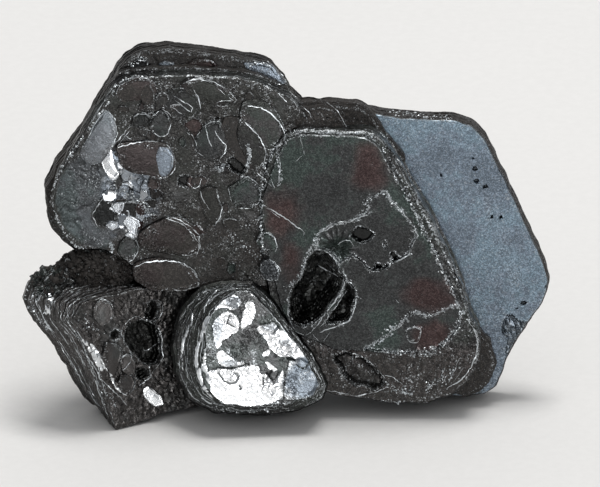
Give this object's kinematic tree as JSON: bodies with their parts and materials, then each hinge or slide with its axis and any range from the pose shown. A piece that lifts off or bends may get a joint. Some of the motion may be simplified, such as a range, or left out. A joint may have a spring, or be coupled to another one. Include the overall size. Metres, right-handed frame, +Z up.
{
  "type": "hematite specimen",
  "caption": "Free-standing mineral specimen: flat, six-sided hematite crystals with scaly, stepped and pitted faces, grown into one dark metallic cluster.",
  "frame": {"origin": "on the surface the specimen stands on, under the middle of its bounding box", "axes": "+Z up; the broad crystal faces look along -Y and lean back a little; +X runs along the specimen's width, to the viewer's right"},
  "size_m": [0.0602, 0.0227, 0.0421],
  "materials": {
    "hematite": "dark steel-grey mineral, metallic to submetallic, brightest on fresh faces and edges"
  },
  "bodies": {
    "root": {"hematite_specimen": "hematite"}
  },
  "joints": []
}
